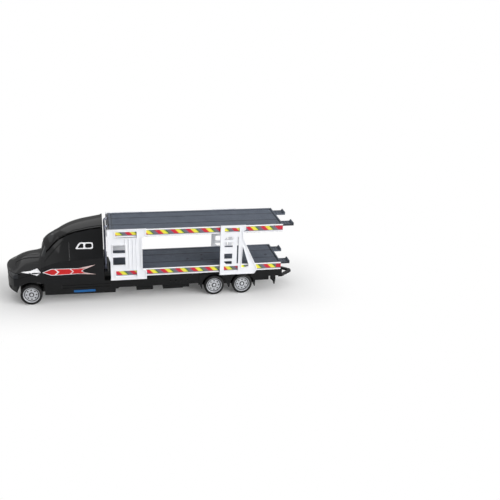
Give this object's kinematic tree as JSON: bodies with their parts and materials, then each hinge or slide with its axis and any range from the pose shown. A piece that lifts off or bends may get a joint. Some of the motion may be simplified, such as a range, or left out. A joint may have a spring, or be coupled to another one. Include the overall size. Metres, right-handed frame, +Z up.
{
  "type": "toy car transporter truck",
  "caption": "Toy rigid truck with a bonneted sleeper cab and a two-deck car carrier body, with pull-out ramps and a towing eye.",
  "frame": {"origin": "centre of the bounding box at the floor, under the tyres", "axes": "+X rearwards, +Y to the truck's right, +Z up; the cab faces -X"},
  "size_m": [0.2924, 0.0552, 0.0816],
  "materials": {
    "cab_black": "high gloss",
    "screen": "polished",
    "lamp_lens": "polished",
    "chassis_black": "satin",
    "deck_grey": "satin",
    "panel_white": "satin",
    "rim_silver": "silver",
    "tyre": "satin",
    "steel": "plain wire"
  },
  "bodies": {
    "truck": {"cab_shell": "cab_black", "chassis_frame": "chassis_black", "exhaust_stacks": "deck_grey", "front_bumper": "chassis_black", "front_panel_left": "panel_white", "front_panel_right": "panel_white", "grille": "cab_black", "headlamp_left": "lamp_lens", "headlamp_right": "lamp_lens", "hitch_loop": "chassis_black", "lower_deck": "deck_grey", "mudguard_left": "chassis_black", "mudguard_right": "chassis_black", "rear_posts": "chassis_black", "rear_tower_left": "panel_white", "rear_tower_right": "panel_white", "roof_fairing": "cab_black", "roof_lights": "screen", "side_skirt_left": "chassis_black", "side_skirt_right": "chassis_black", "tank_box": "chassis_black", "under_boxes": "chassis_black", "upper_deck": "deck_grey", "windscreen": "screen"},
    "front_wheels": {"axle_front": "steel", "hub_front_left": "rim_silver", "hub_front_right": "rim_silver", "tyre_front_left": "tyre", "tyre_front_right": "tyre"},
    "rear1_wheels": {"axle_rear1": "steel", "hub_rear1_left": "rim_silver", "hub_rear1_right": "rim_silver", "tyre_rear1_left": "tyre", "tyre_rear1_right": "tyre"},
    "rear2_wheels": {"axle_rear2": "steel", "hub_rear2_left": "rim_silver", "hub_rear2_right": "rim_silver", "tyre_rear2_left": "tyre", "tyre_rear2_right": "tyre"},
    "lower_left_ramp": {"ramp_lower_left": "deck_grey"},
    "lower_right_ramp": {"ramp_lower_right": "deck_grey"},
    "upper_left_ramp": {"ramp_upper_left": "deck_grey"},
    "upper_right_ramp": {"ramp_upper_right": "deck_grey"}
  },
  "joints": [
    {"name": "front_wheels_spin", "type": "hinge", "parent": "truck", "child": "front_wheels", "pos_m": [-0.1231, 0, 0.0104], "axis": [0, 1, 0], "continuous": true},
    {"name": "rear1_wheels_spin", "type": "hinge", "parent": "truck", "child": "rear1_wheels", "pos_m": [0.0579, 0, 0.0104], "axis": [0, 1, 0], "continuous": true},
    {"name": "rear2_wheels_spin", "type": "hinge", "parent": "truck", "child": "rear2_wheels", "pos_m": [0.0873, 0, 0.0104], "axis": [0, 1, 0], "continuous": true},
    {"name": "lower_left_ramp_slide", "type": "slide", "parent": "truck", "child": "lower_left_ramp", "axis": [1, 0, 0], "range_m": [0, 0.04]},
    {"name": "lower_right_ramp_slide", "type": "slide", "parent": "truck", "child": "lower_right_ramp", "axis": [1, 0, 0], "range_m": [0, 0.04]},
    {"name": "upper_left_ramp_slide", "type": "slide", "parent": "truck", "child": "upper_left_ramp", "axis": [1, 0, 0], "range_m": [0, 0.04]},
    {"name": "upper_right_ramp_slide", "type": "slide", "parent": "truck", "child": "upper_right_ramp", "axis": [1, 0, 0], "range_m": [0, 0.04]}
  ]
}
